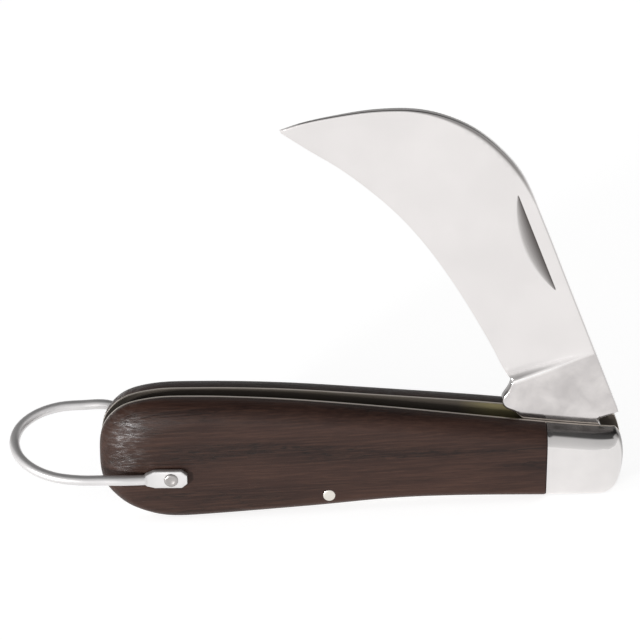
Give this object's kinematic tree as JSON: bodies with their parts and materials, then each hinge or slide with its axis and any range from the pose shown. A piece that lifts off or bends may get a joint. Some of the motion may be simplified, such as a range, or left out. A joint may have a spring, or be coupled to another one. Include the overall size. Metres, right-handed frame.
{
  "type": "hawkbill pocket knife",
  "caption": "Folding nursery knife with a hooked pruning blade, dark wood scales, metal bolsters and a swinging wire bail, shown half open.",
  "frame": {"origin": "On the surface that the handle's back stands on, under the middle of the knife's box, bail included, with the blade half open.", "axes": "+X from the bail and butt towards the bolsters, +Y through the thickness from the mark side (nail nick) to the pile side, +Z from the handle's back up towards the slot and the raised blade."},
  "size_m": [0.1236, 0.0206, 0.0834],
  "materials": {
    "blade_steel": "fine satin polish",
    "spring_steel": "satin",
    "liner_brass": "worn satin",
    "dark_wood": "oiled semi-gloss",
    "nickel_silver": "polished",
    "pin_metal": "polished, peened",
    "bail_wire": "bright plated wire"
  },
  "bodies": {
    "handle": {"mark_liner": "liner_brass", "pile_liner": "liner_brass", "mark_scale": "dark_wood", "pile_scale": "dark_wood", "mark_bolster": "nickel_silver", "pile_bolster": "nickel_silver", "backspring": "spring_steel", "pivot_pin": "pin_metal", "centre_pin": "pin_metal", "bail_pin": "pin_metal"},
    "spring_arm": {"backspring_arm": "spring_steel"},
    "blade": {"blade": "blade_steel"},
    "bail": {"bail": "bail_wire"}
  },
  "joints": [
    {"name": "blade_pivot", "type": "hinge", "parent": "handle", "child": "blade", "pos_m": [0.05422, 0, 0.00905], "axis": [0, 1, 0], "range_deg": [-47.8, 108.2]},
    {"name": "backspring_flex", "type": "hinge", "parent": "handle", "child": "spring_arm", "pos_m": [0.01137, 0, 0.0035], "axis": [0, 1, 0], "range_deg": [0, 1], "stiffness_Nm_per_rad": 30, "springref_deg": -1.15},
    {"name": "bail_swing", "type": "hinge", "parent": "handle", "child": "bail", "pos_m": [-0.02898, 0, 0.01065], "axis": [0, 1, 0], "range_deg": [-150, 96]}
  ]
}
